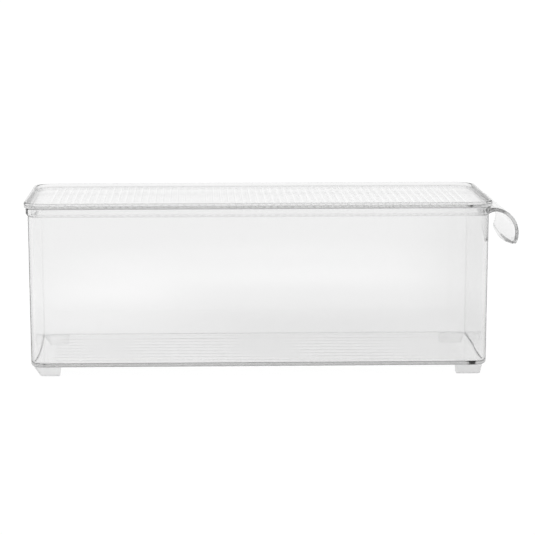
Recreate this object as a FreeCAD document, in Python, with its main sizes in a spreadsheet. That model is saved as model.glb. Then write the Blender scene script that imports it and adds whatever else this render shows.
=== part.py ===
import FreeCAD, Part
import Sketcher
import math
import os

# A clear fridge bin: a deep moulded box with a hooked finger handle, a ribbed lift-off lid and four feet.
# Millimetres, +Z up. The box is long in X, with its handle at the +X end, and stands on z = 0.
# The origin is the middle of the whole footprint, handle included, on the surface that it stands on.

# Driving dimensions, kept in the sheet "dims". Lengths are millimetres and angles degrees.
DIMENSIONS = {
    # Bin moulding. The floor outline is the outside of the walls, level with the underside of the floor.
    "bin_height": 119.0,
    "floor_length": 342.2,
    "floor_width": 136.8,
    "floor_corner": 10.0,
    "floor_thick": 3.0,
    "wall_thick": 2.2,
    "draft": 0.5,
    "bottom_round": 2.2,
    "inner_round": 1.0,
    # Collar that stiffens the top of the walls and carries the lid.
    "collar_length": 347.2,
    "collar_width": 141.8,
    "collar_corner": 12.5,
    "collar_height": 4.8,
    # Low ribs that run lengthwise along the floor.
    "floor_rib_count": 9,
    "floor_rib_pitch": 13.3,
    "floor_rib_width": 2.4,
    "floor_rib_height": 0.3,
    "floor_rib_length": 318.0,
    # Hooked handle: an arc that leaves the collar and bends down, clear of the end wall, to a bowed edge.
    "handle_radius": 18.9,
    "handle_thick": 2.5,
    "handle_width": 118.0,
    "handle_axis_x": 176.0,
    "handle_axis_z": 98.7,
    "handle_root_x": 170.8,
    "handle_end_angle": 48.0,
    "handle_low": 87.6,
    "handle_bow": 600.0,
    "handle_corner": 3.5,
    # Lid: a plate inside a raised rim, with a skirt that drops inside the bin's walls.
    "lid_length": 350.6,
    "lid_width": 145.2,
    "lid_corner": 17.6,
    "lid_plate": 2.0,
    "lid_rim_width": 3.0,
    "lid_rim_height": 2.6,
    "lid_edge_round": 1.2,
    "lid_seat_gap": 0.1,
    "skirt_depth": 6.0,
    "skirt_thick": 1.8,
    "skirt_gap": 0.5,
    # Ribs across the top of the lid plate.
    "lid_rib_count": 57,
    "lid_rib_pitch": 5.56,
    "lid_rib_width": 2.8,
    "lid_rib_height": 0.3,
    "lid_rib_length": 130.0,
    # Feet: short bars under the front and rear edges. Insets are from the outside of the floor to a foot's
    # top, and a ramp is how far its outer end slopes in.
    "foot_height": 7.0,
    "foot_side_inset": 3.2,
    "foot_depth": 8.0,
    "foot_corner": 3.0,
    "foot_small_corner": 1.0,
    "foot_draft_step": 0.5,
    "plain_foot_inset": 2.3,
    "plain_foot_length": 20.0,
    "plain_foot_ramp": 4.9,
    "handle_foot_inset": 3.0,
    "handle_foot_length": 20.3,
    "handle_foot_ramp": 1.6,
}

# Half of what the handle reaches past the lid, which puts the origin in the middle of the whole footprint.
CENTRE_X = "-(dims.handle_axis_x + dims.handle_radius - dims.lid_length / 2) / 2"
RIM_Z = "dims.foot_height + dims.bin_height"
DRAFT_GROWTH = "tan(dims.draft * 1 deg)"

# Which corner of a foot's outline, anticlockwise from +X, -Y, lies under the box's own corner.
FOOT_OUTER_CORNER = {(1, -1): 0, (1, 1): 1, (-1, 1): 2, (-1, -1): 3}
FOOT_START = (10, 4, 1)

doc = FreeCAD.newDocument("fridge_bin")
dims = doc.addObject("Spreadsheet::Sheet", "dims")
for row, (alias, number) in enumerate(DIMENSIONS.items(), start=1):
    dims.set(f"A{row}", alias)
    dims.set(f"B{row}", str(number))
    dims.setAlias(f"B{row}", alias)
doc.recompute()


def add_body(label, x="0 mm", y="0 mm", z="0 mm"):
    """A sub-part with its own label, placed by three expressions."""
    body = doc.addObject("PartDesign::Body", label)
    body.Label = label
    body.setExpression("Placement.Base.x", x)
    body.setExpression("Placement.Base.y", y)
    body.setExpression("Placement.Base.z", z)
    return body


def origin_feature(body, role):
    return next(f for f in body.Origin.OriginFeatures if f.Role == role)


def add_sketch(body, name, plane="XY_Plane", offset_x=None, offset_y=None, offset_z=None):
    """A sketch on one of the body's own origin planes, moved by expressions where they are given."""
    sketch = body.newObject("Sketcher::SketchObject", name)
    sketch.AttachmentSupport = [(origin_feature(body, plane), "")]
    sketch.MapMode = "FlatFace"
    for axis, offset in (("x", offset_x), ("y", offset_y), ("z", offset_z)):
        if offset:
            sketch.setExpression(f"AttachmentOffset.Base.{axis}", offset)
    return sketch


def constrain(sketch, name, expression, *constraint):
    """Adds a constraint with a name and binds its value to an expression."""
    index = sketch.addConstraint(Sketcher.Constraint(*constraint))
    sketch.renameConstraint(index, name)
    sketch.setExpression(f"Constraints.{name}", expression)


def add_rectangle(sketch, name, length, width):
    """A rectangle centred on the sketch's origin. Length and width are expressions."""
    corners = [FreeCAD.Vector(*p, 0) for p in ((-10, -5), (10, -5), (10, 5), (-10, 5))]
    first = sketch.GeometryCount
    for a, b in zip(corners, corners[1:] + corners[:1]):
        sketch.addGeometry(Part.LineSegment(a, b), False)
    for side in range(4):
        sketch.addConstraint(
            Sketcher.Constraint("Coincident", first + side, 2, first + (side + 1) % 4, 1)
        )
        direction = "Horizontal" if side % 2 == 0 else "Vertical"
        sketch.addConstraint(Sketcher.Constraint(direction, first + side))
    half_length, half_width = f"({length}) / 2", f"({width}) / 2"
    constrain(sketch, f"{name}_right", half_length, "DistanceX", -1, 1, first + 1, 1, 10.0)
    constrain(sketch, f"{name}_left", half_length, "DistanceX", first + 3, 1, -1, 1, 10.0)
    constrain(sketch, f"{name}_top", half_width, "DistanceY", -1, 1, first + 2, 1, 5.0)
    constrain(sketch, f"{name}_bottom", half_width, "DistanceY", first, 1, -1, 1, 5.0)


def add_rounded_rectangle(sketch, name, length, width, *radii, start=(160, 70, 10)):
    """A rounded rectangle centred on the sketch's origin: four sides and four arcs, all tangent.

    The sizes are expressions. One radius serves all four corners, or there are four, counted
    anticlockwise from the corner at +X, -Y. The solver starts from rough half sizes and a radius.
    """
    x, y, r = start
    first = sketch.GeometryCount
    sides = (
        ((-x + r, -y), (x - r, -y)),
        ((x, -y + r), (x, y - r)),
        ((x - r, y), (-x + r, y)),
        ((-x, y - r), (-x, -y + r)),
    )
    for begin, end in sides:
        sketch.addGeometry(
            Part.LineSegment(FreeCAD.Vector(*begin, 0), FreeCAD.Vector(*end, 0)), False
        )
    centres = ((x - r, -y + r), (x - r, y - r), (-x + r, y - r), (-x + r, -y + r))
    for quarter, centre in enumerate(centres):
        angle = (quarter - 1) * math.pi / 2
        circle = Part.Circle(FreeCAD.Vector(*centre, 0), FreeCAD.Vector(0, 0, 1), r)
        sketch.addGeometry(Part.ArcOfCircle(circle, angle, angle + math.pi / 2), False)
    for side in range(4):
        line, arc, following = first + side, first + 4 + side, first + (side + 1) % 4
        sketch.addConstraint(Sketcher.Constraint("Tangent", line, 2, arc, 1))
        sketch.addConstraint(Sketcher.Constraint("Tangent", arc, 2, following, 1))
        direction = "Horizontal" if side % 2 == 0 else "Vertical"
        sketch.addConstraint(Sketcher.Constraint(direction, line))
        constrain(sketch, f"{name}_radius_{side}", radii[side % len(radii)], "Radius", arc, r)
    half_length, half_width = f"({length}) / 2", f"({width}) / 2"
    constrain(sketch, f"{name}_right", half_length, "DistanceX", -1, 1, first + 1, 1, x)
    constrain(sketch, f"{name}_left", half_length, "DistanceX", first + 3, 1, -1, 1, x)
    constrain(sketch, f"{name}_top", half_width, "DistanceY", -1, 1, first + 2, 1, y)
    constrain(sketch, f"{name}_bottom", half_width, "DistanceY", first, 1, -1, 1, y)


def add_pad(body, name, sketch, length, down=False, draft=None):
    pad = body.newObject("PartDesign::Pad", name)
    pad.Profile = sketch
    pad.setExpression("Length", length)
    pad.Reversed = down
    if draft:
        pad.setExpression("TaperAngle", draft)
    return pad


def add_fillet(body, name, radius, choose):
    """Rounds the edges of the body's newest feature that choose(edge) accepts."""
    doc.recompute()
    base = body.Tip
    edges = [f"Edge{i}" for i, edge in enumerate(base.Shape.Edges, start=1) if choose(edge)]
    fillet = body.newObject("PartDesign::Fillet", name)
    fillet.Base = (base, edges)
    fillet.setExpression("Radius", radius)
    doc.recompute()
    return fillet


def add_row(body, name, feature, axis, pitch, count):
    """Repeats a feature in a line along one of the body's own axes."""
    row = body.newObject("PartDesign::LinearPattern", name)
    row.Originals = [feature]
    row.Direction = (origin_feature(body, axis), [""])
    row.setExpression("Length", f"({pitch}) * ({count} - 1)")
    row.setExpression("Occurrences", count)
    body.Tip = row
    return row


def level_at(height):
    """True for an edge that lies flat at this height."""
    return lambda edge: abs(edge.BoundBox.ZMin - height) < 0.01 and edge.BoundBox.ZLength < 0.01


def sketch_handle_section(body):
    """The handle's section in the XZ plane: two concentric arcs, an upright root and a radial tip."""
    sketch = add_sketch(body, "handle_section", "XZ_Plane")
    centre = FreeCAD.Vector(180, 100, 0)
    outer, inner = 20.0, 17.0
    tip, root = math.radians(-25), math.radians(110)
    for radius in (outer, inner):
        circle = Part.Circle(centre, FreeCAD.Vector(0, 0, 1), radius)
        sketch.addGeometry(Part.ArcOfCircle(circle, tip, root), False)

    def at(radius, angle):
        return centre + FreeCAD.Vector(radius * math.cos(angle), radius * math.sin(angle), 0)

    sketch.addGeometry(Part.LineSegment(at(inner, tip), at(outer, tip)), False)
    sketch.addGeometry(Part.LineSegment(at(outer, root), at(inner, root)), False)
    for joint in ((2, 1, 1, 1), (2, 2, 0, 1), (3, 1, 0, 2), (3, 2, 1, 2), (0, 3, 1, 3)):
        sketch.addConstraint(Sketcher.Constraint("Coincident", *joint))
    sketch.addConstraint(Sketcher.Constraint("Vertical", 3))
    sketch.addConstraint(Sketcher.Constraint("PointOnObject", 0, 3, 2))
    constrain(sketch, "axis_x", "dims.handle_axis_x", "DistanceX", -1, 1, 0, 3, 180.0)
    constrain(sketch, "axis_z", "dims.handle_axis_z", "DistanceY", -1, 1, 0, 3, 100.0)
    constrain(sketch, "outer", "dims.handle_radius", "Radius", 0, outer)
    constrain(sketch, "thick", "dims.handle_radius - dims.handle_thick", "Radius", 1, inner)
    constrain(sketch, "root_x", "dims.handle_root_x", "DistanceX", -1, 1, 3, 1, 173.0)
    constrain(sketch, "tip", "-dims.handle_end_angle * 1 deg", "Angle", 2, tip)
    return sketch


def sketch_handle_trim(body):
    """What is cut off below the handle: the area under a bow that is lowest in its middle."""
    sketch = add_sketch(body, "handle_trim", "YZ_Plane", offset_z="dims.collar_length / 2")
    radius, half, low, floor = 530.0, 65.0, 89.0, 70.0
    centre = FreeCAD.Vector(0, low + radius, 0)
    swing = math.asin(half / radius)
    end_z = centre.y - math.sqrt(radius**2 - half**2)
    circle = Part.Circle(centre, FreeCAD.Vector(0, 0, 1), radius)
    sketch.addGeometry(
        Part.ArcOfCircle(circle, 1.5 * math.pi - swing, 1.5 * math.pi + swing), False
    )
    corners = [FreeCAD.Vector(*p, 0) for p in ((half, end_z), (half, floor), (-half, floor), (-half, end_z))]
    for a, b in zip(corners, corners[1:]):
        sketch.addGeometry(Part.LineSegment(a, b), False)
    for joint in ((0, 2, 1, 1), (1, 2, 2, 1), (2, 2, 3, 1), (3, 2, 0, 1)):
        sketch.addConstraint(Sketcher.Constraint("Coincident", *joint))
    sketch.addConstraint(Sketcher.Constraint("Vertical", 1))
    sketch.addConstraint(Sketcher.Constraint("Vertical", 3))
    sketch.addConstraint(Sketcher.Constraint("Horizontal", 2))
    sketch.addConstraint(Sketcher.Constraint("PointOnObject", 0, 3, -2))
    constrain(sketch, "bow", "dims.handle_bow", "Radius", 0, radius)
    constrain(sketch, "bow_z", "dims.handle_low + dims.handle_bow", "DistanceY", -1, 1, 0, 3, low + radius)
    constrain(sketch, "reach", "dims.handle_width / 2 + 6", "DistanceX", -1, 1, 1, 2, half)
    constrain(sketch, "depth", "dims.handle_axis_z - dims.handle_radius - 5", "DistanceY", -1, 1, 1, 2, floor)
    return sketch


def build_bin():
    body = add_body("bin", x=CENTRE_X, z="dims.foot_height")

    outline = add_sketch(body, "floor_outline")
    add_rounded_rectangle(
        outline, "floor", "dims.floor_length", "dims.floor_width", "dims.floor_corner"
    )
    add_pad(body, "block", outline, "dims.bin_height", draft="dims.draft")
    add_fillet(body, "bottom_edge", "dims.bottom_round", level_at(0))

    collar = add_sketch(body, "collar_outline", offset_z="dims.bin_height - dims.collar_height")
    add_rounded_rectangle(
        collar, "collar", "dims.collar_length", "dims.collar_width", "dims.collar_corner"
    )
    add_pad(body, "collar", collar, "dims.collar_height")

    handle = add_pad(body, "handle", sketch_handle_section(body), "dims.handle_width")
    handle.SideType = "Symmetric"
    trim = body.newObject("PartDesign::Pocket", "handle_trim")
    trim.Profile = sketch_handle_trim(body)
    trim.Reversed = True
    trim.setExpression("Length", "2 * dims.handle_radius")

    def lower_corner(edge):
        """True for a short edge through the band, where a side of the handle meets its lower edge."""
        box = edge.BoundBox
        at_side = abs(abs(box.YMin) - dims.handle_width / 2) < 0.01 and box.YLength < 0.01
        return at_side and box.ZLength < 0.01 and edge.Length < 2 * dims.handle_thick

    add_fillet(body, "handle_corners", "dims.handle_corner", lower_corner)

    inside = "dims.wall_thick - dims.floor_thick * " + DRAFT_GROWTH
    cavity = add_sketch(body, "cavity_outline", offset_z="dims.floor_thick")
    add_rounded_rectangle(
        cavity,
        "cavity",
        f"dims.floor_length - 2 * ({inside})",
        f"dims.floor_width - 2 * ({inside})",
        f"dims.floor_corner - ({inside})",
    )
    pocket = body.newObject("PartDesign::Pocket", "cavity")
    pocket.Profile = cavity
    pocket.Reversed = True
    pocket.setExpression("Length", "dims.bin_height - dims.floor_thick")
    pocket.setExpression("TaperAngle", "dims.draft")
    add_fillet(body, "inner_edge", "dims.inner_round", level_at(dims.floor_thick))

    rib = add_sketch(
        body,
        "floor_rib_outline",
        offset_y="-dims.floor_rib_pitch * (dims.floor_rib_count - 1) / 2",
        offset_z="dims.floor_thick",
    )
    add_rectangle(rib, "rib", "dims.floor_rib_length", "dims.floor_rib_width")
    first_rib = add_pad(body, "floor_rib", rib, "dims.floor_rib_height")
    add_row(body, "floor_ribs", first_rib, "Y_Axis", "dims.floor_rib_pitch", "dims.floor_rib_count")
    return body


def build_lid():
    body = add_body("lid", x=CENTRE_X, z=f"{RIM_Z} + dims.lid_seat_gap")

    plate = add_sketch(body, "plate_outline")
    add_rounded_rectangle(plate, "plate", "dims.lid_length", "dims.lid_width", "dims.lid_corner")
    add_pad(body, "plate", plate, "dims.lid_plate")
    add_fillet(body, "lower_edge", "dims.lid_edge_round", level_at(0))

    rim = add_sketch(body, "rim_outline", offset_z="dims.lid_plate")
    add_rounded_rectangle(rim, "outer", "dims.lid_length", "dims.lid_width", "dims.lid_corner")
    add_rounded_rectangle(
        rim,
        "inner",
        "dims.lid_length - 2 * dims.lid_rim_width",
        "dims.lid_width - 2 * dims.lid_rim_width",
        "dims.lid_corner - dims.lid_rim_width",
    )
    add_pad(body, "rim", rim, "dims.lid_rim_height")
    rim_top = dims.lid_plate + dims.lid_rim_height
    add_fillet(body, "rim_edge", "dims.lid_edge_round", level_at(rim_top))

    # The cavity grows with the draft from the underside of the floor up to the rim.
    inside = f"2 * (dims.wall_thick + dims.skirt_gap - dims.bin_height * {DRAFT_GROWTH})"
    corner = f"dims.floor_corner - ({inside}) / 2"
    skirt = add_sketch(body, "skirt_outline")
    add_rounded_rectangle(
        skirt, "outer", f"dims.floor_length - {inside}", f"dims.floor_width - {inside}", corner
    )
    add_rounded_rectangle(
        skirt,
        "inner",
        f"dims.floor_length - {inside} - 2 * dims.skirt_thick",
        f"dims.floor_width - {inside} - 2 * dims.skirt_thick",
        f"{corner} - dims.skirt_thick",
    )
    add_pad(body, "skirt", skirt, "dims.skirt_depth", down=True)

    rib = add_sketch(
        body,
        "lid_rib_outline",
        offset_x="-dims.lid_rib_pitch * (dims.lid_rib_count - 1) / 2",
        offset_z="dims.lid_plate",
    )
    add_rectangle(rib, "rib", "dims.lid_rib_width", "dims.lid_rib_length")
    first_rib = add_pad(body, "lid_rib", rib, "dims.lid_rib_height")
    add_row(body, "lid_ribs", first_rib, "X_Axis", "dims.lid_rib_pitch", "dims.lid_rib_count")
    return body


def build_foot(label, kind, end, side):
    """A foot under one corner. End is -1 or +1 along X, side is -1 or +1 along Y."""
    length, ramp = f"dims.{kind}_foot_length", f"dims.{kind}_foot_ramp"
    step = "dims.foot_draft_step"
    body = add_body(
        label,
        x=f"{CENTRE_X} + {end} * (dims.floor_length / 2 - dims.{kind}_foot_inset - {length} / 2)",
        y=f"{side} * (dims.floor_width / 2 - dims.foot_side_inset - dims.foot_depth / 2)",
        z="dims.foot_height",
    )
    # The corner under the box's own corner is a wide one, and the other three are small.
    radii = ["dims.foot_small_corner"] * 4
    radii[FOOT_OUTER_CORNER[end, side]] = "dims.foot_corner"
    top = add_sketch(body, "top_outline")
    add_rounded_rectangle(top, "top", length, "dims.foot_depth", *radii, start=FOOT_START)
    bottom = add_sketch(
        body, "bottom_outline", offset_x=f"{end} * ({step} - {ramp}) / 2", offset_z="-dims.foot_height"
    )
    add_rounded_rectangle(
        bottom,
        "bottom",
        f"{length} - {ramp} - {step}",
        f"dims.foot_depth - 2 * {step}",
        *radii,
        start=FOOT_START,
    )
    block = body.newObject("PartDesign::AdditiveLoft", "block")
    block.Profile = top
    block.Sections = [bottom]
    block.Ruled = True
    return body


bodies = [build_bin(), build_lid()]
for end_name, end, kind in (("plain", -1, "plain"), ("handle", 1, "handle")):
    for side_name, side in (("front", -1), ("rear", 1)):
        bodies.append(build_foot(f"foot_{end_name}_{side_name}", kind, end, side))
doc.recompute()

for item in doc.Objects:
    if "Invalid" in item.State or "Error" in item.State:
        raise RuntimeError(f"{item.Label} failed: {item.State}")
for body in bodies:
    if body.Shape.isNull() or not body.Shape.isValid():
        raise RuntimeError(f"{body.Label} has no valid shape")
    if len(body.Shape.Solids) != 1:
        raise RuntimeError(f"{body.Label} is {len(body.Shape.Solids)} solids")

os.makedirs("parts", exist_ok=True)
for body in bodies:
    body.Shape.exportStep(os.path.join("parts", f"{body.Label}.step"))
    box = body.Shape.optimalBoundingBox()
    print(
        f"{body.Label}: {body.Shape.Volume / 1000:.2f} cm3, "
        f"x {box.XMin:.2f} to {box.XMax:.2f}, y {box.YMin:.2f} to {box.YMax:.2f}, "
        f"z {box.ZMin:.2f} to {box.ZMax:.2f}"
    )
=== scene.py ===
import math

import bmesh
import bpy
from mathutils import Matrix, Vector


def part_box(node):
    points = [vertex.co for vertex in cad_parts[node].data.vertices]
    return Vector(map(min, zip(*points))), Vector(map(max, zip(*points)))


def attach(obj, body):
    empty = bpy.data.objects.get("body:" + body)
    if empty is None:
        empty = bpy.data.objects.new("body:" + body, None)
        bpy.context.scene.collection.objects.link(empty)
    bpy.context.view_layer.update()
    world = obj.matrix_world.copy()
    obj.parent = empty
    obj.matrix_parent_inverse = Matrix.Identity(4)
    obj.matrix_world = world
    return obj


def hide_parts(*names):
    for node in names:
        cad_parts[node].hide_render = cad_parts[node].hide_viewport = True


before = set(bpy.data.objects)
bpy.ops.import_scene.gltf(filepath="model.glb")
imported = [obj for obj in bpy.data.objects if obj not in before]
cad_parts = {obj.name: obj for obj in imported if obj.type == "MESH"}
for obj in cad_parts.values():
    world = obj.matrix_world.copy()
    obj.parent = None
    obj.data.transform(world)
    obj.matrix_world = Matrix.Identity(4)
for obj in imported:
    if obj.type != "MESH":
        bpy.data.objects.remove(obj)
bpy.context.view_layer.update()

# A clear fridge bin with a ribbed lid, a hooked handle and milky feet. Metres, +Z up, +X towards the handle.
# Places come from the boxes of the CAD nodes. Sizes finer than those boxes are named here.
MM = 0.001
BIN_LOW, BIN_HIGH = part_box("bin")
LID_LOW, LID_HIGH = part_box("lid")
CENTRE_X = (LID_LOW.x + LID_HIGH.x) / 2
FLOOR_Z = BIN_LOW.z
RIM_Z = BIN_HIGH.z

# How finely curves are cut, and what joins and smooths the faces.
CORNER_STEPS = 20
EDGE_STEPS = 5
ROUND_STEPS = 8
RIB_STEPS = 8
CORNER_SIGNS = ((1, -1), (1, 1), (-1, 1), (-1, -1))
MERGE_DISTANCE = 1e-7
SHARP_ANGLE = math.radians(32)
FLAT_WEIGHT = 90

# The bin's outside, level with the underside of its floor. Every other ring is this outline, offset.
BASE_HALF_X = 171.1 * MM
BASE_HALF_Y = 68.4 * MM
BASE_CORNER = 10 * MM
DRAFT = math.tan(math.radians(0.5))
WALL = 2.2 * MM
FLOOR = 3.0 * MM
BOTTOM_ROUND = 2.2 * MM
INNER_ROUND = 1.0 * MM
COLLAR_OFFSET = BIN_HIGH.y - BASE_HALF_Y
COLLAR_HEIGHT = 4.8 * MM
COLLAR_EASE = 1.4 * MM
RIM_EDGE = 0.6 * MM

FLOOR_RIB_COUNT = 9
FLOOR_RIB_PITCH = 13.3 * MM
FLOOR_RIB_WIDTH = 2.4 * MM
FLOOR_RIB_HEIGHT = 0.035 * MM
FLOOR_RIB_HALF = 159 * MM
FLOOR_RIB_FADE = 8 * MM

LID_OFFSET = LID_HIGH.y - BASE_HALF_Y
LID_CORNER = 13.4 * MM
LID_SEAT = RIM_Z + 0.1 * MM
LID_PLATE = 2.0 * MM
LID_RIM_WIDTH = 3.0 * MM
LID_RIM_EDGE = 1.2 * MM
LID_TRAY_ROUND = 0.8 * MM
LID_LOWER_EDGE = 1.2 * MM
SKIRT_GAP = 0.5 * MM
SKIRT_OFFSET = (RIM_Z - FLOOR_Z) * DRAFT - WALL - SKIRT_GAP
SKIRT_THICK = 1.8 * MM
SKIRT_EDGE = 0.5 * MM
LID_RIB_COUNT = 57
LID_RIB_PITCH = 5.56 * MM
LID_RIB_WIDTH = 2.8 * MM
LID_RIB_HEIGHT = 0.10 * MM
LID_RIB_HALF = 64 * MM
LID_RIB_FADE = 10 * MM

# The handle's arc runs from its root, past the top, to its lower edge. From HANDLE_SWELL_DEGREES back to the
# root it swells inwards, into the collar.
HANDLE_RADIUS = 18.9 * MM
HANDLE_THICK = 2.5 * MM
HANDLE_HALF_Y = 59 * MM
HANDLE_AXIS_HEIGHT = 98.7 * MM
HANDLE_AXIS = Vector((BIN_HIGH.x - HANDLE_RADIUS, 0, FLOOR_Z + HANDLE_AXIS_HEIGHT))
HANDLE_ROOT_DEGREES = 103
HANDLE_SWELL_DEGREES = 80
HANDLE_SWELL = 1.4 * MM
HANDLE_SWELL_POWER = 1.5
HANDLE_LOW = FLOOR_Z + 87.6 * MM
HANDLE_BOW = 600 * MM
HANDLE_CORNER = 3.5 * MM
HANDLE_EDGE = 0.6 * MM
HANDLE_STRAIGHT_STEPS = 8
HANDLE_CORNER_STEPS = 10
HANDLE_SIDE_STEPS = 4
HANDLE_ARC_STEPS = 40
HANDLE_LEAST_GAP = 0.1 * MM
HANDLE_TIP_NARROWING = 0.5

FOOT_GAP = 0.05 * MM
FOOT_CORNER = 3 * MM
FOOT_SMALL_CORNER = 1 * MM
FOOT_LEAST_CORNER = 0.2 * MM
FOOT_CORNER_STEPS = 10
FOOT_SIDE_STEPS = 6
FOOT_TOP_EDGE = 0.3 * MM
FOOT_TOP_SHARE = 0.03
FOOT_EDGE = 0.5 * MM
FOOT_STEP = 0.5 * MM
PLAIN_RAMP = 4.9 * MM
HANDLE_RAMP = 1.6 * MM

# Clarity is the share of light that a surface lets through, squared. Gains add to it, and losses take from
# it. The patches are painted light and shade, lighter at mid height and to the left, darker low down and
# towards the handle's end. Each patch is its middle in X and Z, its reach in X and Z, and the change in
# clarity there.
CLARITY = 0.925
CLARITY_WANDER = 0.008
PAINTED_LIGHT_AND_SHADE_PATCHES = (
    ((-0.125, 0.052), (0.085, 0.030), 0.03),
    ((0.01, 0.066), (0.24, 0.024), 0.035),
    ((0.06, 0.026), (0.25, 0.032), -0.05),
    ((0.19, 0.080), (0.10, 0.090), -0.04),
    ((-0.15, 0.012), (0.10, 0.030), -0.02),
)
PATCH_FULL = 0.75
BIN_DENSITY = 5.0
LID_DENSITY = 1.4
DEPTH_COLOUR = (0.5, 0.5, 0.5, 1)

# The handle and the two ends of its root.
HANDLE_START_X = BIN_HIGH.x - 19 * MM
HANDLE_LOSS = 0.09
ROOT_MIDDLE = (0.1715, 0.1235)
ROOT_REACH = (0.010, 0.006)
ROOT_LOSS = 0.6
ROOT_END_Y = 50 * MM
HANDLE_LOSS_RUN = 6 * MM

# Painted shade on the outside of the upright corners, where they meet the end walls, darkest low down.
EDGE_SHADE_LOW = 0.45
EDGE_SHADE_HIGH = 0.12
EDGE_TURN = (0.83, 0.98)

# Painted shade in the rounded lower edge of each moulding, full up to the fade share of its height.
RIM_SHADE = 0.36
RIM_SHADE_FADE = 0.5
BIN_RIM_SHADE_TOP = 1.3 * MM
LID_RIM_SHADE_TOP = 1.8 * MM
LID_END_SHARE = 0.2
LID_END_RUN = 12 * MM

# The bin's floor, and the lid's parts. The lid's rib streaks are painted light and shade.
FLOOR_GAIN = 0.05
SKIRT_GAIN = 0.06
SKIRT_GAIN_FULL = LID_SEAT - 0.4 * MM
SKIRT_GAIN_END = LID_SEAT - 0.1 * MM
LID_LOSS = 0.05
RIM_GAIN = 0.08
LID_RIB_PAINTED_STREAKS = 0.07
LID_RIB_STREAK_FADE = 14 * MM

# A part of a facet's normal tells what it belongs to: an upright side, a level face or a flat wall.
UPRIGHT_MOST_Z = 0.1
LEVEL_LEAST_Z = 0.95
FLAT_LEAST = 0.9997
LEVEL_SLACK = 0.05 * MM
FLOOR_SLACK = 1 * MM

# The feet's grey at the plain end and the handle's end, each full at its reach from the middle. The extra
# grey at the handle's end is painted shade, and the rear feet's gain is painted light.
FOOT_TINTS_AND_SHADE = (0.84, 0.77)
FOOT_SHADE_REACH_X = 0.15
REAR_FOOT_PAINTED_LIGHT = 0.12
REAR_FOOT_REACH_Y = 0.02

# The camera stands in front, to the left of the bin's middle and above its floor. Angles are in degrees.
CAMERA_LENS = 154.8
CAMERA_LEFT = 46.6 * MM
CAMERA_BACK = 1763.4 * MM
CAMERA_UP = 317.5 * MM
CAMERA_TURN = 1.78
CAMERA_PITCH = 8.14
CAMERA_ROLL = 0.06
STAGE_RADIUS = 60
STAGE_GLOW = 0.98
SKY_STOPS = ((0.2, 1.0), (0.5, 0.4), (0.8, 1.0))


def outline(half_x, half_y, radii, steps=CORNER_STEPS):
    """Points of a rounded rectangle round the origin, anticlockwise from the corner at +X, -Y."""
    points = []
    for quarter, ((sx, sy), radius) in enumerate(zip(CORNER_SIGNS, radii)):
        cx, cy = sx * (half_x - radius), sy * (half_y - radius)
        for i in range(steps + 1):
            angle = (quarter - 1 + i / steps) * math.pi / 2
            points.append((cx + radius * math.cos(angle), cy + radius * math.sin(angle)))
    return points


def add_ring(bm, points, z, centre=(0, 0)):
    """A level ring of vertices."""
    return [bm.verts.new((centre[0] + x, centre[1] + y, z)) for x, y in points]


def join_rings(bm, rings):
    """Quads between neighbouring rings that have the same number of points."""
    for lower, upper in zip(rings, rings[1:]):
        for i in range(len(lower)):
            j = (i + 1) % len(lower)
            bm.faces.new((lower[i], lower[j], upper[j], upper[i]))


def carry_round(bm, profile, corner=BASE_CORNER):
    """One ring of the base outline for each (offset, height) point of a profile."""
    rings = []
    for offset, z in profile:
        points = outline(BASE_HALF_X + offset, BASE_HALF_Y + offset, [corner + offset] * 4)
        rings.append(add_ring(bm, points, z, (CENTRE_X, 0)))
    return rings


def bend(centre, radius, start, end, steps=EDGE_STEPS):
    """Profile points along an arc from the start to the end angle, in degrees."""
    angles = [math.radians(start + (end - start) * i / steps) for i in range(steps + 1)]
    return [(centre[0] + radius * math.cos(a), centre[1] + radius * math.sin(a)) for a in angles]


def ease(start, end):
    """Profile points along a smooth S from a start to an end point, upright at both."""
    points = []
    for i in range(ROUND_STEPS + 1):
        share = i / ROUND_STEPS
        out = (1 - math.cos(math.pi * share)) / 2
        points.append((start[0] + (end[0] - start[0]) * out, start[1] + (end[1] - start[1]) * share))
    return points


def loop_edges(bm, loop):
    """The edges between neighbouring vertices of a closed loop."""
    return [bm.edges.get((a, b)) for a, b in zip(loop, loop[1:] + loop[:1])]


def ribbed_panel(bm, border, z, count, pitch, width, height, half_length, fade_length, along_x):
    """Fills a level ring with a panel that carries a row of rounded ribs, centred on the bin.

    The ribs swell up gently from the panel and fade out over fade_length at both of their ends.
    With along_x they run along X, and otherwise along Y.
    """
    swell = [(1 - math.cos(2 * math.pi * i / RIB_STEPS)) / 2 for i in range(RIB_STEPS + 1)]
    across, rise = [], []
    for rib in range(count):
        middle = (rib - (count - 1) / 2) * pitch
        across += [middle + (i / RIB_STEPS - 0.5) * width for i in range(RIB_STEPS + 1)]
        rise += swell
    fade = [i / RIB_STEPS for i in range(RIB_STEPS + 1)]
    run = [-half_length + f * fade_length for f in fade]
    taper = [(1 - math.cos(math.pi * f)) / 2 for f in fade]
    run += [-r for r in reversed(run)]
    taper += list(reversed(taper))

    grid = []
    for r, t in zip(run, taper):
        row = []
        for c, s in zip(across, rise):
            x, y = (r, c) if along_x else (c, r)
            row.append(bm.verts.new((CENTRE_X + x, y, z + height * s * t)))
        grid.append(row)
    for low, high in zip(grid, grid[1:]):
        for i in range(len(low) - 1):
            quad = (low[i], low[i + 1], high[i + 1], high[i])
            bm.faces.new(reversed(quad) if along_x else quad)
    right = [row[-1] for row in grid[1:-1]]
    left = [row[0] for row in grid[-2:0:-1]]
    grid_loop = grid[0] + right + grid[-1][::-1] + left
    edges = loop_edges(bm, grid_loop) + loop_edges(bm, border)
    bmesh.ops.triangle_fill(bm, use_beauty=True, use_dissolve=False, edges=edges)


def smooth(mesh):
    """Shades a mesh smooth, with sharp edges where its faces turn far enough."""
    for polygon in mesh.polygons:
        polygon.use_smooth = True
    mesh.set_sharp_from_angle(angle=SHARP_ANGLE)


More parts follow.
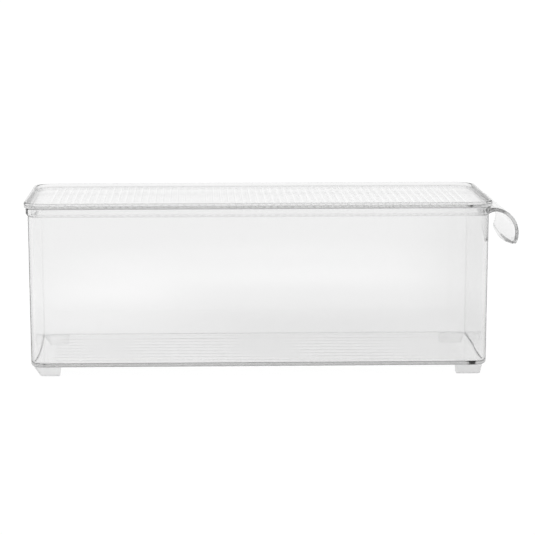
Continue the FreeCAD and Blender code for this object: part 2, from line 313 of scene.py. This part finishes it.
def finished_mesh(bm, name):
    """Turns the bmesh into a smooth-shaded object whose flat faces stay flat."""
    bmesh.ops.remove_doubles(bm, verts=bm.verts, dist=MERGE_DISTANCE)
    bmesh.ops.recalc_face_normals(bm, faces=bm.faces)
    mesh = bpy.data.meshes.new(name)
    bm.to_mesh(mesh)
    bm.free()
    smooth(mesh)
    piece = bpy.data.objects.new(name, mesh)
    bpy.context.collection.objects.link(piece)
    return piece


def weight_normals(piece):
    """Lets the large flat faces set the shading, so that walls stay flat up to their rounded corners."""
    modifier = piece.modifiers.new("flat_walls", "WEIGHTED_NORMAL")
    modifier.mode = "FACE_AREA"
    modifier.weight = FLAT_WEIGHT
    modifier.keep_sharp = True


def apply_modifiers(piece):
    """Replaces the piece's mesh by the one its modifiers make, and sharpens its edges again."""
    evaluated = piece.evaluated_get(bpy.context.evaluated_depsgraph_get())
    mesh = bpy.data.meshes.new_from_object(evaluated)
    mesh.name = piece.name
    piece.modifiers.clear()
    piece.data = mesh
    smooth(mesh)


def handle_low_edge(y):
    """Height of the handle's lower edge: a bow, lowest in its middle, that turns up round the corners."""
    straight = HANDLE_HALF_Y - HANDLE_CORNER
    along = min(abs(y), straight)
    z = HANDLE_LOW + HANDLE_BOW - math.sqrt(HANDLE_BOW**2 - along**2)
    into_corner = min(abs(y) - along, HANDLE_CORNER)
    return z + HANDLE_CORNER - math.sqrt(HANDLE_CORNER**2 - into_corner**2)


def handle_section():
    """The handle's section across its width: (y, height above its middle) points of a closed loop."""
    half = HANDLE_THICK / 2
    straight = HANDLE_HALF_Y - HANDLE_CORNER
    spots = [straight * i / HANDLE_STRAIGHT_STEPS for i in range(HANDLE_STRAIGHT_STEPS)]
    for i in range(HANDLE_CORNER_STEPS):
        spots.append(straight + HANDLE_CORNER * math.sin(math.pi / 2 * i / HANDLE_CORNER_STEPS))
    spots = [-y for y in reversed(spots[1:])] + spots

    inner_y = HANDLE_HALF_Y - HANDLE_EDGE
    side = bend((inner_y, half - HANDLE_EDGE), HANDLE_EDGE, 90, 0, HANDLE_SIDE_STEPS)
    side += bend((inner_y, HANDLE_EDGE - half), HANDLE_EDGE, 0, -90, HANDLE_SIDE_STEPS)
    top = [(y, half) for y in spots if abs(y) < inner_y - HANDLE_LEAST_GAP]
    return top + side + [(y, -half) for y, _ in reversed(top)] + [(-y, -across) for y, across in side]


def make_handle():
    """The hooked handle: a band bent along an arc, with rounded edges, whose root swells into the collar."""
    half = HANDLE_THICK / 2
    middle = HANDLE_RADIUS - half
    root = math.radians(HANDLE_ROOT_DEGREES)
    # Each station is a share of the arc, a distance past its end, and how far the section shrinks there.
    stations = [(i / HANDLE_ARC_STEPS, 0.0, 0.0) for i in range(HANDLE_ARC_STEPS + 1)]
    for i in range(1, EDGE_STEPS + 1):
        angle = math.pi / 2 * i / EDGE_STEPS
        stations.append((1.0, HANDLE_EDGE * math.sin(angle), HANDLE_EDGE * (1 - math.cos(angle))))

    bm = bmesh.new()
    section = handle_section()
    rings = []
    for share, past, inset in stations:
        ring = []
        for y, across in section:
            across *= 1 - inset / half
            y *= 1 - HANDLE_TIP_NARROWING * inset / HANDLE_HALF_Y
            radius = middle + across
            tip = -math.asin((HANDLE_AXIS.z - handle_low_edge(y)) / radius)
            end = tip + HANDLE_EDGE / middle
            angle = root + (end - root) * share - past / middle
            if across < 0:
                turned = max(0.0, math.degrees(angle) - HANDLE_SWELL_DEGREES)
                near_root = turned / (HANDLE_ROOT_DEGREES - HANDLE_SWELL_DEGREES)
                radius -= HANDLE_SWELL * near_root**HANDLE_SWELL_POWER
            out = Vector((math.cos(angle), 0, math.sin(angle)))
            ring.append(bm.verts.new(HANDLE_AXIS + out * radius + Vector((0, y, 0))))
        rings.append(ring)
    join_rings(bm, rings)
    bm.faces.new(rings[0])
    bm.faces.new(rings[-1])
    return finished_mesh(bm, "handle_band")


def wall_outside(z):
    """Offset of the drafted walls' outside at a height."""
    return (z - FLOOR_Z) * DRAFT


def wall_inside(z):
    """Offset of the drafted walls' inside at a height."""
    return wall_outside(z) - WALL


def make_bin():
    """The bin: floor with ribs, drafted walls, collar and handle in one moulding."""
    bm = bmesh.new()
    collar_z = RIM_Z - COLLAR_HEIGHT
    floor_top = FLOOR_Z + FLOOR
    low = wall_inside(floor_top + INNER_ROUND)
    collar_start = (wall_outside(collar_z), collar_z - COLLAR_EASE)
    profile = bend((-BOTTOM_ROUND, FLOOR_Z + BOTTOM_ROUND), BOTTOM_ROUND, -90, 0, ROUND_STEPS)
    profile += ease(collar_start, (COLLAR_OFFSET, collar_z + COLLAR_EASE))
    profile += bend((COLLAR_OFFSET - RIM_EDGE, RIM_Z - RIM_EDGE), RIM_EDGE, 0, 90)
    profile += bend((wall_inside(RIM_Z) + RIM_EDGE, RIM_Z - RIM_EDGE), RIM_EDGE, 90, 180)
    profile += bend((low - INNER_ROUND, floor_top + INNER_ROUND), INNER_ROUND, 0, -90, ROUND_STEPS)
    rings = carry_round(bm, profile)
    join_rings(bm, rings)
    bm.faces.new(rings[0])
    ribbed_panel(
        bm,
        rings[-1],
        floor_top,
        FLOOR_RIB_COUNT,
        FLOOR_RIB_PITCH,
        FLOOR_RIB_WIDTH,
        FLOOR_RIB_HEIGHT,
        FLOOR_RIB_HALF,
        FLOOR_RIB_FADE,
        along_x=True,
    )
    piece = finished_mesh(bm, "bin_moulding")

    handle = make_handle()
    union = piece.modifiers.new("handle", "BOOLEAN")
    union.operation = "UNION"
    union.solver = "EXACT"
    union.object = handle
    apply_modifiers(piece)
    bpy.data.objects.remove(handle)
    weight_normals(piece)
    return piece


def make_lid():
    """The lid: a ribbed tray with a raised rim, and a skirt under its plate."""
    bm = bmesh.new()
    rim_top = LID_HIGH.z
    tray = LID_SEAT + LID_PLATE
    inner = LID_OFFSET - LID_RIM_WIDTH
    profile = bend((inner - LID_TRAY_ROUND, tray + LID_TRAY_ROUND), LID_TRAY_ROUND, -90, 0)
    profile += bend((inner + LID_RIM_EDGE, rim_top - LID_RIM_EDGE), LID_RIM_EDGE, 180, 90)
    profile += bend((LID_OFFSET - LID_RIM_EDGE, rim_top - LID_RIM_EDGE), LID_RIM_EDGE, 90, 0)
    profile += bend((LID_OFFSET - LID_LOWER_EDGE, LID_SEAT + LID_LOWER_EDGE), LID_LOWER_EDGE, 0, -90)
    skirt_low = LID_LOW.z
    skirt_in = SKIRT_OFFSET - SKIRT_THICK
    skirt = [(SKIRT_OFFSET, LID_SEAT)]
    skirt += bend((SKIRT_OFFSET - SKIRT_EDGE, skirt_low + SKIRT_EDGE), SKIRT_EDGE, 0, -90)
    skirt += bend((skirt_in + SKIRT_EDGE, skirt_low + SKIRT_EDGE), SKIRT_EDGE, -90, -180)
    skirt.append((skirt_in, LID_SEAT))
    rings = carry_round(bm, profile, LID_CORNER) + carry_round(bm, skirt)
    join_rings(bm, rings)
    ribbed_panel(
        bm,
        rings[0],
        tray,
        LID_RIB_COUNT,
        LID_RIB_PITCH,
        LID_RIB_WIDTH,
        LID_RIB_HEIGHT,
        LID_RIB_HALF,
        LID_RIB_FADE,
        along_x=False,
    )
    bm.faces.new(rings[-1])
    piece = finished_mesh(bm, "lid_moulding")
    weight_normals(piece)
    return piece


def make_foot(node, end, side, ramp):
    """A foot that fills its CAD node's box: upright faces that lean in, and a ramp at its outer end."""
    low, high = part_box(node)
    top = high.z - FOOT_GAP
    centre, half_x, half_y = (low + high) / 2, (high.x - low.x) / 2, (high.y - low.y) / 2
    height = top - low.z
    radii = [FOOT_CORNER if signs == (end, side) else FOOT_SMALL_CORNER for signs in CORNER_SIGNS]

    bm = bmesh.new()
    rings = []

    def ring(share, inset, z):
        """A ring share of the way down the foot's leaning sides, and inset further."""
        points = outline(
            half_x - share * (ramp + FOOT_STEP) / 2 - inset,
            half_y - share * FOOT_STEP - inset,
            [max(radius - inset, FOOT_LEAST_CORNER) for radius in radii],
            FOOT_CORNER_STEPS,
        )
        shift = end * share * (FOOT_STEP - ramp) / 2
        rings.append(add_ring(bm, points, z, (centre.x + shift, centre.y)))

    ring(0, FOOT_TOP_EDGE, top)
    ring(FOOT_TOP_SHARE, 0, top - FOOT_TOP_EDGE)
    for i in range(1, FOOT_SIDE_STEPS + 1):
        share = i / FOOT_SIDE_STEPS * (1 - FOOT_EDGE / height)
        ring(share, 0, top - share * height)
    for i in range(1, EDGE_STEPS + 1):
        angle = math.pi / 2 * i / EDGE_STEPS
        drop = FOOT_EDGE * math.sin(angle)
        inset = FOOT_EDGE * (1 - math.cos(angle))
        ring(1 - (FOOT_EDGE - drop) / height, inset, low.z + FOOT_EDGE - drop)
    join_rings(bm, rings)
    bm.faces.new(rings[0])
    bm.faces.new(rings[-1])
    return finished_mesh(bm, node + "_moulding")


class Shading:
    """One new material, and short ways to add nodes to it. A value is a number, a tuple or a socket."""

    def __init__(self, name):
        self.material = bpy.data.materials.new(name)
        self.material.use_nodes = True
        self.nodes = self.material.node_tree.nodes
        self.links = self.material.node_tree.links
        self.shader = self.nodes["Principled BSDF"]
        self.output = self.nodes["Material Output"]

    def fill(self, node, values):
        """Sets or links a node's inputs, by name or by number."""
        for key, value in values.items():
            if isinstance(value, bpy.types.NodeSocket):
                self.links.new(value, node.inputs[key])
            else:
                node.inputs[key].default_value = value

    def node(self, kind, values):
        node = self.nodes.new(kind)
        self.fill(node, values)
        return node

    def object_place(self):
        return self.nodes.new("ShaderNodeTexCoord").outputs["Object"]

    def facet_normal(self):
        return self.nodes.new("ShaderNodeNewGeometry").outputs["True Normal"]

    def parts(self, vector):
        """The X, Y and Z of a vector."""
        return self.node("ShaderNodeSeparateXYZ", {"Vector": vector}).outputs

    def maths(self, operation, *values):
        """A Math node on values, in order. The operation comes first, as it sets which inputs there are."""
        node = self.nodes.new("ShaderNodeMath")
        node.operation = operation
        self.fill(node, dict(enumerate(values)))
        return node.outputs["Value"]

    def product(self, first, *others):
        """The product of two or more values."""
        for other in others:
            first = self.maths("MULTIPLY", first, other)
        return first

    def map_range(self, value, from_low, from_high, to_low=0.0, to_high=1.0):
        """A Map Range node, clamped at both ends."""
        numbers = {"From Min": from_low, "From Max": from_high, "To Min": to_low, "To Max": to_high}
        return self.node("ShaderNodeMapRange", {"Value": value, **numbers}).outputs["Result"]

    def noise(self, place, scale, detail):
        values = {"Vector": place, "Scale": scale, "Detail": detail}
        return self.node("ShaderNodeTexNoise", values).outputs["Fac"]

    def bump(self, height, strength, distance):
        """Sets the shader's normal from a height."""
        values = {"Height": height, "Strength": strength, "Distance": distance}
        self.fill(self.shader, {"Normal": self.node("ShaderNodeBump", values).outputs["Normal"]})

    def patch(self, place, centre, reach):
        """A soft patch fixed to the object in X and Z: 1 in its middle, fading smoothly to 0 at its reach."""
        values = {
            "Vector": place,
            "Location": (-centre[0] / reach[0], 0, -centre[1] / reach[1]),
            "Scale": (1 / reach[0], 0, 1 / reach[1]),
        }
        mapping = self.node("ShaderNodeMapping", values)
        ball = self.node("ShaderNodeTexGradient", {"Vector": mapping.outputs["Vector"]})
        ball.gradient_type = "SPHERICAL"
        soft = self.node("ShaderNodeMapRange", {"Value": ball.outputs["Fac"], "From Max": PATCH_FULL})
        soft.interpolation_type = "SMOOTHSTEP"
        return soft.outputs["Result"]


def painted_edge_shade(shading, spot):
    """Painted shade in the outside of an upright corner where it meets the end wall, most low down."""
    maths = shading.maths
    facet = shading.parts(shading.facet_normal())
    facet_x = maths("ABSOLUTE", facet["X"])
    upright = maths("LESS_THAN", maths("ABSOLUTE", facet["Z"]), UPRIGHT_MOST_Z)
    turned_x = maths("LESS_THAN", facet_x, FLAT_LEAST)
    turned_y = maths("LESS_THAN", maths("ABSOLUTE", facet["Y"]), FLAT_LEAST)
    curved = shading.product(turned_x, turned_y, upright)

    # Distance from the upright axis that a corner of the walls turns round.
    from_centre = maths("ABSOLUTE", maths("SUBTRACT", spot["X"], CENTRE_X))
    along = maths("MAXIMUM", maths("SUBTRACT", from_centre, BASE_HALF_X - BASE_CORNER), 0.0)
    from_middle = maths("ABSOLUTE", spot["Y"])
    across = maths("MAXIMUM", maths("SUBTRACT", from_middle, BASE_HALF_Y - BASE_CORNER), 0.0)
    radius = maths("SQRT", maths("MULTIPLY_ADD", along, along, maths("MULTIPLY", across, across)))
    wall_middle = maths("MULTIPLY_ADD", spot["Z"], DRAFT, BASE_CORNER - WALL / 2 - FLOOR_Z * DRAFT)
    outside = maths("GREATER_THAN", radius, wall_middle)
    off_handle = maths("LESS_THAN", spot["X"], HANDLE_START_X)

    endward = shading.map_range(facet_x, *EDGE_TURN)
    height = shading.map_range(spot["Z"], FLOOR_Z, RIM_Z, EDGE_SHADE_LOW, EDGE_SHADE_HIGH)
    return shading.product(curved, outside, off_handle, endward, height)


def painted_rim_shade(shading, spot, rim_z, top, end_share):
    """Painted shade in the rounded lower edge of a moulding, from its level underside at rim_z up to top.

    At the two ends in X only end_share of it is lost.
    """
    maths = shading.maths
    facet = shading.parts(shading.facet_normal())
    side = maths("LESS_THAN", maths("ABSOLUTE", facet["Z"]), LEVEL_LEAST_Z)
    above = maths("GREATER_THAN", spot["Z"], rim_z - LEVEL_SLACK)
    height = shading.map_range(spot["Z"], rim_z + RIM_SHADE_FADE * top, rim_z + top, RIM_SHADE, 0)
    along = maths("ABSOLUTE", maths("SUBTRACT", spot["X"], CENTRE_X))
    ends = shading.map_range(along, BASE_HALF_X - LID_END_RUN, BASE_HALF_X, 1, end_share)
    return shading.product(side, above, height, ends)


def floor_gain(shading, spot):
    """How much clearer the bin's floor is than its walls."""
    maths = shading.maths
    facet = shading.parts(shading.facet_normal())
    level = maths("GREATER_THAN", maths("ABSOLUTE", facet["Z"]), LEVEL_LEAST_Z)
    low = maths("LESS_THAN", spot["Z"], FLOOR_Z + FLOOR + FLOOR_SLACK)
    return shading.product(level, low, FLOOR_GAIN)


def lid_gain(shading, spot):
    """How much clearer the lid's skirt and rim are than its plate, plus rib streaks of painted light and
    shade.
    """
    maths = shading.maths
    skirt = shading.map_range(spot["Z"], SKIRT_GAIN_FULL, SKIRT_GAIN_END, SKIRT_GAIN, -LID_LOSS)
    rim = shading.map_range(spot["Z"], LID_SEAT + LID_PLATE, LID_HIGH.z, 0, RIM_GAIN)
    # Painted light and shade: streaks at the rib pitch, lightest over each rib and darkest between.
    along = maths("SUBTRACT", spot["X"], CENTRE_X)
    wave = maths("COSINE", maths("MULTIPLY", along, 2 * math.pi / LID_RIB_PITCH))
    in_row = maths("LESS_THAN", maths("ABSOLUTE", along), LID_RIB_COUNT / 2 * LID_RIB_PITCH)
    from_middle = maths("ABSOLUTE", spot["Y"])
    fade = shading.map_range(from_middle, LID_RIB_HALF - LID_RIB_STREAK_FADE, LID_RIB_HALF, 1, 0)
    painted_streaks = shading.product(wave, LID_RIB_PAINTED_STREAKS, in_row, fade)
    return maths("ADD", maths("ADD", skirt, rim), painted_streaks)


def clear_plastic(name, density, rim_z, is_lid):
    """Polished clear plastic: uneven clarity, painted light and shade, fine handling marks and a grey depth
    in its edges.
    """
    shading = Shading(name)
    maths = shading.maths
    place = shading.object_place()
    spot = shading.parts(place)

    # Clarity wanders a little, and soft patches of painted light and shade raise or lower it. There is less
    # in the handle and the ends of its root.
    flow = shading.noise(place, 14, 2)
    clarity_and_painted_shading = maths("MULTIPLY_ADD", flow, CLARITY_WANDER, CLARITY - CLARITY_WANDER / 2)
    for centre, reach, change in PAINTED_LIGHT_AND_SHADE_PATCHES:
        clarity_and_painted_shading = maths("MULTIPLY_ADD", shading.patch(place, centre, reach), change, clarity_and_painted_shading)
    handle_full = HANDLE_START_X + HANDLE_LOSS_RUN
    handle = shading.map_range(spot["X"], HANDLE_START_X, handle_full, 0, HANDLE_LOSS)
    root = shading.patch(place, ROOT_MIDDLE, ROOT_REACH)
    from_middle = maths("ABSOLUTE", spot["Y"])
    root_ends = shading.map_range(from_middle, ROOT_END_Y, ROOT_END_Y + HANDLE_LOSS_RUN, 0, ROOT_LOSS)
    clarity_and_painted_shading = maths("SUBTRACT", maths("SUBTRACT", clarity_and_painted_shading, handle), maths("MULTIPLY", root, root_ends))

    # Then the parts of each moulding that are clearer or darker than the rest. The darkened lower edge is
    # painted shade.
    if is_lid:
        gain = lid_gain(shading, spot)
        rim_shade = painted_rim_shade(shading, spot, rim_z, LID_RIM_SHADE_TOP, LID_END_SHARE)
    else:
        gain = floor_gain(shading, spot)
        rim_shade = painted_rim_shade(shading, spot, rim_z, BIN_RIM_SHADE_TOP, 1)
    clarity_and_painted_shading = maths("ADD", clarity_and_painted_shading, gain)
    # Painted shade darkens the outside of the upright corners and the rounded lower edges.
    for painted_shade in (painted_edge_shade(shading, spot), rim_shade):
        clarity_and_painted_shading = maths("MULTIPLY", clarity_and_painted_shading, maths("SUBTRACT", 1, painted_shade))

    marks = shading.noise(place, 60, 6)
    values = {
        "Base Color": clarity_and_painted_shading,
        "Roughness": shading.map_range(marks, 0.35, 0.75, 0, 0.03),
        "IOR": 1.5,
        "Transmission Weight": 1.0,
    }
    shading.fill(shading.shader, values)
    shading.bump(flow, 0.01, 1 * MM)
    depth = shading.node("ShaderNodeVolumeAbsorption", {"Color": DEPTH_COLOUR, "Density": density})
    shading.fill(shading.output, {"Volume": depth.outputs["Volume"]})
    return shading.material


def milky_plastic():
    """Translucent frosted plastic for the feet: lets light in and blurs it, with a fine grain."""
    shading = Shading("milky_plastic")
    maths = shading.maths
    place = shading.object_place()
    spot = shading.parts(place)

    # The level faces are clear and the sides tinted. The feet at the handle's end are a little greyer than
    # the others, which is painted shade, and the rear ones a little clearer, which is painted light.
    tint_and_shade = shading.map_range(spot["X"], -FOOT_SHADE_REACH_X, FOOT_SHADE_REACH_X, *FOOT_TINTS_AND_SHADE)
    rear = shading.map_range(spot["Y"], -REAR_FOOT_REACH_Y, REAR_FOOT_REACH_Y, 0, REAR_FOOT_PAINTED_LIGHT)
    facet = shading.parts(shading.facet_normal())
    level = maths("GREATER_THAN", maths("ABSOLUTE", facet["Z"]), LEVEL_LEAST_Z)

    grain = shading.noise(place, 900, 3)
    values = {
        "Base Color": maths("MAXIMUM", maths("ADD", tint_and_shade, rear), level),
        "Roughness": shading.map_range(grain, 0, 1, 0.3, 0.5),
        "IOR": 1.48,
        "Transmission Weight": 0.96,
    }
    shading.fill(shading.shader, values)
    shading.bump(grain, 0.25, 0.3 * MM)
    return shading.material


def make_stage():
    """A plain pale floor, and a soft sky: bright low down all round and overhead, greyer between."""
    bpy.ops.mesh.primitive_circle_add(vertices=96, radius=STAGE_RADIUS, fill_type="NGON")
    floor = bpy.context.object
    floor.name = "stage_floor"
    shading = Shading("pale_floor")
    values = {
        "Base Color": (0.05, 0.05, 0.05, 1),
        "Roughness": 1.0,
        "Specular IOR Level": 0.0,
        "Emission Color": (1, 1, 1, 1),
        "Emission Strength": STAGE_GLOW,
    }
    shading.fill(shading.shader, values)
    floor.data.materials.append(shading.material)

    world = bpy.data.worlds.new("soft_studio")
    bpy.context.scene.world = world
    world.use_nodes = True
    nodes, links = world.node_tree.nodes, world.node_tree.links
    direction = nodes.new("ShaderNodeTexCoord")
    height = nodes.new("ShaderNodeSeparateXYZ")
    ramp = nodes.new("ShaderNodeValToRGB")
    ramp.color_ramp.interpolation = "EASE"
    ramp.color_ramp.elements.new(SKY_STOPS[1][0])
    for stop, (position, grey) in zip(ramp.color_ramp.elements, SKY_STOPS):
        stop.position = position
        stop.color = (grey, grey, grey, 1)
    links.new(direction.outputs["Generated"], height.inputs["Vector"])
    links.new(height.outputs["Z"], ramp.inputs["Fac"])
    links.new(ramp.outputs["Color"], nodes["Background"].inputs["Color"])
    nodes["Background"].inputs["Strength"].default_value = 1.0


def make_camera():
    """The camera stands well back in front of the bin, and looks slightly down."""
    data = bpy.data.cameras.new("camera")
    data.sensor_width = 36
    data.lens = CAMERA_LENS
    data.clip_start = 0.05
    data.clip_end = 200
    camera = bpy.data.objects.new("camera", data)
    bpy.context.collection.objects.link(camera)
    camera.location = (CENTRE_X - CAMERA_LEFT, -CAMERA_BACK, FLOOR_Z + CAMERA_UP)
    turn = Matrix.Rotation(-math.radians(CAMERA_TURN), 3, "Z")
    tilt = Matrix.Rotation(math.pi / 2 - math.radians(CAMERA_PITCH), 3, "X")
    roll = Matrix.Rotation(-math.radians(CAMERA_ROLL), 3, "Z")
    camera.rotation_euler = (turn @ tilt @ roll).to_euler()
    bpy.context.scene.camera = camera


make_camera()
make_stage()

CLEAR_BIN = clear_plastic("clear_bin_plastic", BIN_DENSITY, FLOOR_Z, False)
CLEAR_LID = clear_plastic("clear_lid_plastic", LID_DENSITY, LID_SEAT, True)
MILKY = milky_plastic()

bin_piece = make_bin()
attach(bin_piece, "bin_body")
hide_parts("bin")
bin_piece.data.materials.append(CLEAR_BIN)

lid_piece = make_lid()
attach(lid_piece, "lid_body")
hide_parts("lid")
lid_piece.data.materials.append(CLEAR_LID)

for end_name, end, ramp in (("plain", -1, PLAIN_RAMP), ("handle", 1, HANDLE_RAMP)):
    for side_name, side in (("front", -1), ("rear", 1)):
        node = f"foot_{end_name}_{side_name}"
        foot = make_foot(node, end, side, ramp)
        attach(foot, "bin_body")
        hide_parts(node)
        foot.data.materials.append(MILKY)

scene = bpy.context.scene
scene.view_settings.view_transform = "Standard"
scene.cycles.max_bounces = 40
scene.cycles.transmission_bounces = 40
scene.cycles.glossy_bounces = 24
